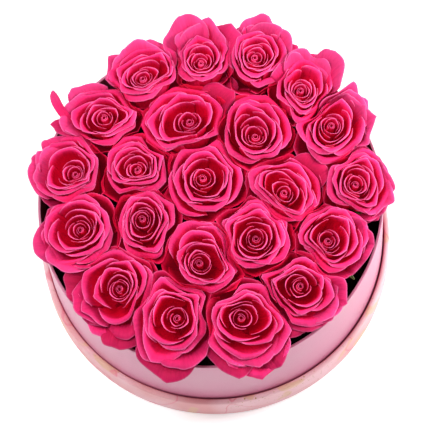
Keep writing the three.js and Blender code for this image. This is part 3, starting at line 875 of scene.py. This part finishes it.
def guards_of(rose):
    """The shape of each guard petal, whose flanks lie over or under its neighbours."""
    around = guard_directions(rose)
    petals = []
    for k, petal in enumerate(around):
        before = around[k - 1]
        after = around[(k + 1) % len(around)]
        gaps = (petal["direction"] - before["direction"], after["direction"] - petal["direction"])
        flanks = []
        for flank, other in enumerate((before, after)):
            fall = other.get("height", 0) - petal.get("height", 0)
            outside = flank == 1 if fall == 0 else fall > 0
            flanks.append(GUARD_FLANK if outside else -GUARD_FLANK)
        widths = [gap % 360 / 2 * GUARD_OVERLAP for gap in gaps]
        if "reach" in petal:
            petals.append(guard(petal, GUARD_LINE, flanks, widths))
        else:
            petals.append(guard(petal, UPRIGHT_LINE, flanks, widths, gap_shade(rose, petal["direction"])))
    for petal in rose["side"]:
        flanks = (GUARD_FLANK, -GUARD_FLANK)
        petals.append(guard(long_guard(rose, petal), GUARD_LINE, flanks, [SIDE_HALF_ANGLE] * 2))
    for k, (direction, reach, height) in enumerate(rose["long"]):
        skirt = (direction + SKIRT_TURN * (-1) ** k, blend(SKIRT_INSIDE[0], reach, SKIRT_SHARE),
                 blend(SKIRT_INSIDE[1], height, SKIRT_SHARE))
        flanks = (-SKIRT_FLANK, SKIRT_FLANK)
        petals.append(guard(long_guard(rose, skirt), GUARD_LINE, flanks, [SKIRT_HALF_ANGLE] * 2))
    return petals


def lips_of(rose, rng):
    """The shape of each nested petal, from the outermost inwards."""
    petals = []
    start = rose["turn"] + rng.uniform(0, 360)
    for k, (edge, crest, lip, drop, half) in enumerate(LIPS):
        if k in rose["without"]:
            continue
        edge += rng.normal(0, 0.25)
        crest += rng.normal(0, 0.35)
        lip *= rng.uniform(0.8, 1.2)
        open_share = progress(edge, 6, 30)
        line = [
            (blend(3.0, 6.8, open_share), blend(-22, -36.5, open_share)),
            (blend(4.6, 15.0, open_share), blend(-17, -30, open_share)),
            (edge - lip - blend(0.2, 3.2, open_share), blend(-11, -17, open_share)),
            (edge - lip - blend(0.2, 1.0, open_share), crest - 4.6),
            (edge - lip * 0.85, crest - 0.5),
            (edge - lip * 0.5, crest - drop * 0.25),
            (edge, crest - drop),
        ]
        half += rng.normal(0, 4)
        petals.append({"line": line, "edge": edge, "guard": False, "flanks": (-0.5, 0.5),
                       "direction": start + k * GOLDEN_ANGLE + rng.normal(0, 6), "widths": [half, half]})
    return petals


BULGE_WIDTH = 42.0


def guard_bulge(rose, angle):
    """How much farther than the nested petals the long guard petals reach, towards some angles."""
    bulge = np.zeros(angle.shape)
    stretch = ellipse(*rose["spread"][2:])
    for petal in rose["long"]:
        guard_petal = long_guard(rose, petal)
        way = level_way(guard_petal["direction"])
        outline = np.linalg.norm(stretch @ way) * SPREAD_RADIUS + way @ np.array(rose["spread"][:2])
        farther = max(guard_petal["reach"] / outline - 1, 0)
        turn = (np.degrees(angle) - guard_petal["direction"] + 180) % 360 - 180
        bulge += farther * np.exp(-(turn / BULGE_WIDTH) ** 2)
    return bulge


GROWTH_START = 0.4
OUTLINE_FULLNESS = 2.4
FOLD_DEPTH = 1.6
FOLD_WIDTH = 0.13
SIDE_DROOP = 3.5
CURL_START = 0.78
CURL_LENGTH = 0.22


def drawn_out(petal, across, up, radius, height, rng):
    """A long guard petal's radius and height, with its lobes, its middle fold, ruffles and curl."""
    grown = progress(up, GROWTH_START, 1) ** 1.4
    lobes = 0.09 * np.sin(5.5 * across + rng.uniform(0, 2 * math.pi))
    lobes += 0.05 * np.sin(9.0 * across + rng.uniform(0, 2 * math.pi))
    outline = (1 - np.abs(across) ** OUTLINE_FULLNESS) * (1 + lobes)
    end_radius, end_height = petal["line"][-1]
    radius = radius + (petal["reach"] - end_radius) * grown * outline
    over = (across > 0) == (petal["flanks"][1] > 0)
    height = height + (petal["height"] - end_height) * grown * np.where(over, 1.0, outline)
    fold = rng.uniform(-0.25, 0.25)
    height -= FOLD_DEPTH * np.exp(-((across - fold) / FOLD_WIDTH) ** 2) * grown
    for k in range(3):
        ruffle = np.sin((4.2 + 3.1 * k) * across + rng.uniform(0, 2 * math.pi)) * up ** 4
        height += rng.uniform(1.0, 2.2) / (k + 1) ** 0.7 * ruffle
        radius += rng.uniform(0.4, 1.2) / (k + 1) * ruffle
    height -= SIDE_DROOP * across ** 2 * grown
    curl = 1.6 + 2.4 * np.sin(3.4 * across + rng.uniform(0, 2 * math.pi))
    curled = np.clip((up - CURL_START) / CURL_LENGTH, 0, 1) ** 2
    height -= curl * curled * np.abs(across - fold) ** 0.5
    return radius, height


SOFT_EDGE = 22
EDGE_WAVE = 2.6
EDGE_RISE = 0.7
EDGE_SHIFT = 0.45
LONG_WAVES = 1.6
LONG_POINT = 1.5
POINT_WIDTH = 0.16
POINT_SHOULDER = 0.95
NICKS = 2
NICK_WIDTH = 0.05


def finished_edge(petal, across, up, radius, height, rng):
    """A petal's radius and height with a waved edge, a blunt point and small nicks."""
    softness = min(1.0, petal["edge"] / SOFT_EDGE)
    strength = LONG_WAVES if "reach" in petal else softness
    near_edge = up ** 3
    for k in range(1, 4):
        waves = np.sin(k * EDGE_WAVE * across + rng.uniform(0, 2 * math.pi))
        height = height + rng.normal(0, EDGE_RISE) / k * strength * waves * near_edge
        waves = np.sin(k * EDGE_WAVE * across + rng.uniform(0, 2 * math.pi))
        radius = radius + rng.normal(0, EDGE_SHIFT) / k * strength * waves * near_edge
    from_point = np.abs(across - rng.uniform(-0.25, 0.25))
    shoulder = np.sin(math.pi * progress(from_point, 0, POINT_SHOULDER))
    tip = rng.uniform(0.6, 2.2) * softness * (LONG_POINT if "reach" in petal else 1.0)
    radius += tip * np.exp(-from_point / POINT_WIDTH) * up ** 4
    radius -= 0.5 * tip * shoulder * up ** 4
    height -= 0.7 * tip * shoulder * up ** 6
    for _ in range(NICKS):
        nick = np.exp(-np.abs(across - rng.uniform(-0.8, 0.8)) / NICK_WIDTH) * up ** 8
        radius += rng.normal(0, 0.5) * softness * nick
    return radius, height


OPEN_FROM = -32.0
OPEN_FULLY = -6.0
FOLLOW_START = 16.0
FOLLOW_FULLY = 31.0
FOLLOW_GUARDS = 0.8
BULGE_DROP = 12.0


def opened(rose, edge, level, height, angle):
    """A nested or plain petal, stretched and shifted to the rose's cup, spread and long guards."""
    to_cup = progress(edge, BUD_RADIUS, CUP_RADIUS)
    to_spread = min(max((edge - CUP_RADIUS) / (SPREAD_RADIUS - CUP_RADIUS), 0), 1.1)
    cup = rose["cup"]
    spread = rose["spread"]
    stretch = blend(blend(np.eye(2), ellipse(*cup[2:]), to_cup), ellipse(*spread[2:]), to_spread)
    shift = blend(np.array(cup[:2]) * to_cup, np.array(spread[:2]), to_spread)
    risen = progress(height, OPEN_FROM, OPEN_FULLY)[..., None]
    risen = risen * risen * (3 - 2 * risen)
    level = level + risen * (level @ stretch.T - level + shift)
    follow = progress(edge, FOLLOW_START, FOLLOW_FULLY) ** 1.2 * FOLLOW_GUARDS
    grown = follow * guard_bulge(rose, angle)[..., None] * risen
    return level * (1 + grown), height - BULGE_DROP * grown[..., 0]


def petal_middle(rose, petal, rng):
    """The middle surface of a petal as a grid of points in the rose's own frame."""
    grid = GUARD_GRID if petal["guard"] else OUTER_GRID if petal["edge"] > 14 else INNER_GRID
    across, step = leaf_grid(*grid)
    up = 1 - (1 - step) ** 1.75 + 0 * across
    across = across + 0 * up
    radius, height = curve(petal["line"], up * (1 - 0.15 * np.abs(across) ** 3))
    if "reach" in petal:
        radius, height = drawn_out(petal, across, up, radius, height, rng)
    radius, height = finished_edge(petal, across, up, radius, height, rng)
    if petal["guard"]:
        flank = np.where(across < 0, petal["flanks"][0], petal["flanks"][1]) * np.abs(across) ** 1.5
    else:
        flank = petal["flanks"][1] * across
    flank = flank * np.clip(up * 1.6, 0, 1)
    radius = radius + flank
    height = height - flank * 0.3
    widths = np.where(across < 0, petal["widths"][0], petal["widths"][1])
    angle = np.radians(petal["direction"] + across * widths * (0.5 + 0.5 * progress(up, 0, 0.55)))
    level = np.stack([radius * np.cos(angle), radius * np.sin(angle)], -1)
    if "reach" not in petal:
        level, height = opened(rose, petal["edge"], level, height, angle)
    return np.concatenate([level, height[..., None]], -1), across, up


def heart_middle(rng):
    """The middle surface of the rolled innermost petal."""
    across, up = leaf_grid(60, 7, start=0)
    angle = rng.uniform(0, 2 * math.pi) + 2 * math.pi * 1.9 * across
    radius = 1.5 + 1.6 * across + 2.2 * np.clip(across - 0.5, 0, 1) ** 1.3
    radius = radius * (1.08 - 0.2 * up ** 2)
    height = -13 + (10.2 + 0.9 * (1 - across)) * up
    across = across + 0 * up
    up = up + 0 * across
    return np.stack([radius * np.cos(angle), radius * np.sin(angle), height], -1), across * 2 - 1, up


def core_middle():
    """The middle surface of the petals' joined bases, which hide the top of the hip."""
    around = np.linspace(0, 2 * math.pi, 25)[None, :]
    up = np.linspace(0, 1, 4)[:, None] + 0 * around
    radius = 0.4 + 9.0 * up
    height = -33.0 + 2.0 * up ** 2
    return np.stack([radius * np.cos(around), radius * np.sin(around), height], -1), 0 * up, up


NARROW_ROOT = (20.0, -26.0)
NARROW_HALF_WIDTH = 4.3
NARROW_BEND = 42.0
NARROW_ROUNDING = 2.4
NARROW_TIP_START = 0.72


def narrow_middle(petal):
    """The middle surface of a narrow petal that bends sideways and has a rounded tip."""
    across, up = leaf_grid(*GUARD_GRID)
    radius = blend(NARROW_ROOT[0], petal["reach"], up)
    angle = np.radians(petal["direction"] + NARROW_BEND * (1 - up))
    path = np.concatenate([radius * np.cos(angle), radius * np.sin(angle)], -1)
    along = np.gradient(path, axis=0)
    along = along / np.linalg.norm(along, axis=-1, keepdims=True)
    sideways = np.stack([along[:, 1], -along[:, 0]], -1)
    near_tip = progress(up, NARROW_TIP_START, 1)
    half = NARROW_HALF_WIDTH * (0.8 + 0.2 * up) * np.sqrt(1 - 0.86 * near_tip ** 2)
    back = NARROW_ROUNDING * across ** 2 * near_tip
    level = path[:, None] + (across * half)[..., None] * sideways[:, None] - back[..., None] * along[:, None]
    height = blend(NARROW_ROOT[1], petal["height"], 1 - (1 - up) ** 2) + 1.1 * across ** 2
    return np.concatenate([level, height[..., None]], -1), across + 0 * up, up + 0 * across


# Painted shade: these set how deep the petals' colour runs. Towards a petal's base it deepens partly by its
# own colour and partly as painted shade, and where it faces down or lies low among the roses only as painted
# shade.
SHADE_BY_SLOPE = 0.24
SHADE_BY_DEPTH = 0.45
AMONG_ROSES = (DOME_REACH + 4, DOME_REACH - 12)
LOW_FROM = 6.0
LOW_BAND = 14.0
LIP_BLUSH_AND_SHADE = 15.0
GUARD_BLUSH_AND_SHADE = 45.0
UNDERSIDE_SHADE_DEPTH = 0.40
LONG_BLUSH_AND_SHADE_SHARE = 0.45
LONG_BLUSH_AND_SHADE_START = 0.02
LONG_BLUSH_AND_SHADE_END = 0.30
# Painted shade: long guard petals are painted a little darker, and those that droop lower deeper and darker
# still, less so among the roses.
DROOP_FROM = -2.0
DROOP_FULLY = -10.0
DROOP_SHADE_DEEPENING = 0.22
DROOP_SHADE_DEEPENING_END = 0.10
LONG_PAINTED_SHADE = 0.13
DROOP_PAINTED_SHADE = 0.27
DROOP_SHADE_LOST = 0.45
LOW_PAINTED_SHADE = 0.15


def petal_tones(rose, petal, points, to_edge, upward):
    """How deep a petal's colour is at its points, partly its own colour and partly painted shade, and how
    far painted shade darkens them.
    """
    # Painted shade: deeper colour where a petal faces down, away from the light above.
    away = (1 - np.clip(upward * 1.5, -0.3, 1)) * SHADE_BY_SLOPE
    # Painted shade: deeper colour where a petal lies low among the roses, inside the dome's edge.
    among_roses = progress(np.hypot(points[:, 0], points[:, 1]), *AMONG_ROSES)
    low = np.clip((rose["heart"][2] - LOW_FROM - points[:, 2]) / LOW_BAND, 0, 1)
    low = low * SHADE_BY_DEPTH * among_roses
    # Colour deepening away from the edge, partly the petal's own and partly painted shade.
    blush = GUARD_BLUSH_AND_SHADE if "reach" in petal else LIP_BLUSH_AND_SHADE * max(1, (petal.get("edge", 0) - 10) / 10)
    inward = np.clip(to_edge / blush, 0, 1.2)
    shade = petal.get("shade", 0)
    if petal["guard"] and not shade:
        # Painted shade: the lower a long guard droops, the deeper and darker it is painted.
        droop = progress(petal.get("height", -6), DROOP_FROM, DROOP_FULLY)
        depth = inward * LONG_BLUSH_AND_SHADE_SHARE + LONG_BLUSH_AND_SHADE_START + DROOP_SHADE_DEEPENING * droop
        depth = np.clip(depth, 0, LONG_BLUSH_AND_SHADE_END + DROOP_SHADE_DEEPENING_END * droop)
        # Painted shade: the undersides of the long guards are deeper in colour.
        depth = np.where(upward < 0, UNDERSIDE_SHADE_DEPTH, depth)
        droop_shade = DROOP_PAINTED_SHADE * droop * (1 - DROOP_SHADE_LOST * among_roses)
        return depth, LONG_PAINTED_SHADE + droop_shade + away + LOW_PAINTED_SHADE * low
    # Painted shade: plain guards in gaps are deeper in colour and darker away from their edges.
    return np.clip(inward + away + low + shade, 0, 1), progress(to_edge, 1, 6) * 3 * shade


GUARD_EDGE = 36.0
GUARD_MARGIN = -1.5
GUARD_PRESS_RISE = 0.2
LIP_EDGE_RADIUS = 32.5
LIP_MARGIN = -1.0
LIP_PRESS_DROP = 0.6


def rose_mesh(index):
    """All petals of one rose, each a closed sheet, with the values that its colours and painted shade
    follow.
    """
    rose = ROSES[index]
    rng = np.random.default_rng(PETAL_SEED + index)
    sheets = [(petal, *petal_middle(rose, petal, rng)) for petal in guards_of(rose) + lips_of(rose, rng)]
    sheets.append(({"guard": False}, *heart_middle(rng)))
    sheets.append(({"guard": False}, *core_middle()))
    for narrow in rose["narrow"]:
        petal = dict(long_guard(rose, narrow), guard=True)
        sheets.append((petal, *narrow_middle(petal)))
    pieces = []
    count = 0
    for petal, middle, across, up in sheets:
        grid = in_place(rose, middle.reshape(-1, 3))
        if petal["guard"]:
            grid = keep_to_share(index, grid, GUARD_EDGE, GUARD_MARGIN, GUARD_PRESS_RISE)
        elif "line" in petal:
            grid = keep_to_share(index, grid, LIP_EDGE_RADIUS, LIP_MARGIN, -LIP_PRESS_DROP)
        sheet = closed_sheet(grid.reshape(middle.shape), PETAL_THICKNESS, count)
        points, faces, flat, to_edge, upward = sheet
        # Painted shade: the colour depth and the darkening both stand in for shade among the petals.
        depth, painted_shade = petal_tones(rose, petal, points, to_edge, upward)
        uv = np.tile(np.stack([across.ravel() / 2 + 0.5, up.ravel()], -1), (2, 1))
        pieces.append((points, faces, flat, uv, to_edge, depth, painted_shade, np.full(len(points), rng.random())))
        count += len(points)
    points, faces, flat, uv, to_edge, depth, painted_shade, chance = (np.concatenate(part) for part in zip(*pieces))
    values = {"edge_distance": to_edge, "colour_depth_and_shade": depth, "painted_shade": painted_shade, "petal_chance": chance}
    return points, faces, flat, uv, values


# Painted highlight: the lighter pink of a petal's edge, where the thin edge catches the light.
LIP_EDGE_HIGHLIGHT = (0.97, 0.17, 0.43, 1)
LIP_PINK = (0.92, 0.066, 0.275, 1)
PETAL_PINK = (0.88, 0.022, 0.165, 1)
PETAL_ROSE = (0.82, 0.009, 0.090, 1)
PETAL_CRIMSON = (0.74, 0.002, 0.038, 1)
# The deepest crimson, where a petal's base and its painted shade are deepest.
SHADED_THROAT_CRIMSON = (0.66, 0.0, 0.022, 1)
# Painted light: a faint crimson glow in the petals' deepest parts, which stands in for light passing through
# the petals.
THROAT_GLOW = (0.038, 0.0003, 0.003, 1)
NO_GLOW = (0, 0, 0, 1)


def ramp(tree, factor, stops):
    """A colour that runs through stops of (position, colour)."""
    node = tree.nodes.new("ShaderNodeValToRGB")
    elements = node.color_ramp.elements
    while len(elements) < len(stops):
        elements.new(0.5)
    for element, (position, colour) in zip(elements, stops):
        element.position = position
        element.color = colour
    tree.links.new(factor, node.inputs["Fac"])
    return node.outputs["Color"]


petal_material, tree, shader = new_material("rose_petal", Roughness=0.62, Specular_IOR_Level=0.08,
                                            Emission_Strength=1.0)
place = add_node(tree, "TexCoord").outputs
edge_distance, colour_depth_and_shade, petal_chance, painted_shade = (
    add_node(tree, "Attribute", attribute_name=word).outputs["Fac"]
    for word in ("edge_distance", "colour_depth_and_shade", "petal_chance", "painted_shade")
)
# The petals' colour runs from pink to crimson by their colour depth, which holds painted shade as well as
# their own colour.
petal_colour = ramp(tree, colour_depth_and_shade, [
    (0.0, LIP_PINK),
    (0.16, PETAL_PINK),
    (0.38, PETAL_ROSE),
    (0.66, PETAL_CRIMSON),
    (1.0, SHADED_THROAT_CRIMSON),
])
# Painted highlight: a light pink line along each petal's edge, left out where the colour is deepest.
rim = ranged(tree, edge_distance, 0.4, 1.3, 0.65, 0.0)
rim_highlight_mask = worked_out(tree, "MULTIPLY", rim, ranged(tree, colour_depth_and_shade, 0.1, 0.45, 1.0, 0.0))
petal_colour = mixed(tree, rim_highlight_mask, petal_colour, LIP_EDGE_HIGHLIGHT)
flush = texture(tree, "Noise", place["Object"], Scale=45.0, Detail=2.0, Roughness=0.5)
fan = mapped(tree, place["UV"], Scale=(34.0, 3.0, 1.0))
shifted = add_node(tree, "VectorMath", operation="MULTIPLY_ADD")
shifted.inputs[1].default_value = (37, 37, 37)
tree.links.new(petal_chance, shifted.inputs[0])
tree.links.new(fan, shifted.inputs[2])
veins = texture(tree, "Noise", shifted.outputs[0], Scale=1.0, Detail=3.0, Roughness=0.55)
brightness = ranged(tree, petal_chance, 0.0, 1.0, 0.88, 1.10)
for share in (
    ranged(tree, flush, 0.3, 0.7, 0.92, 1.06),
    ranged(tree, veins, 0.3, 0.7, 0.91, 1.07),
    # Painted shade darkens the colour.
    ranged(tree, painted_shade, 0.0, 1.0, 1.0, 0.0),
):
    brightness = worked_out(tree, "MULTIPLY", brightness, share)
tree.links.new(brightened(tree, petal_colour, brightness), shader.inputs["Base Color"])
# Painted light: the deepest parts of the petals glow faintly crimson.
tree.links.new(ramp(tree, colour_depth_and_shade, [(0.3, NO_GLOW), (0.9, THROAT_GLOW)]), shader.inputs["Emission Color"])
tree.links.new(bumped(tree, veins, 0.7, 0.001), shader.inputs["Normal"])

for index in range(len(ROSES)):
    petals = mesh_object(f"rose_{index + 1:02d}_petals", petal_material, *rose_mesh(index))
    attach(petals, "root")
    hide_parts(f"bloom_{index + 1:02d}")
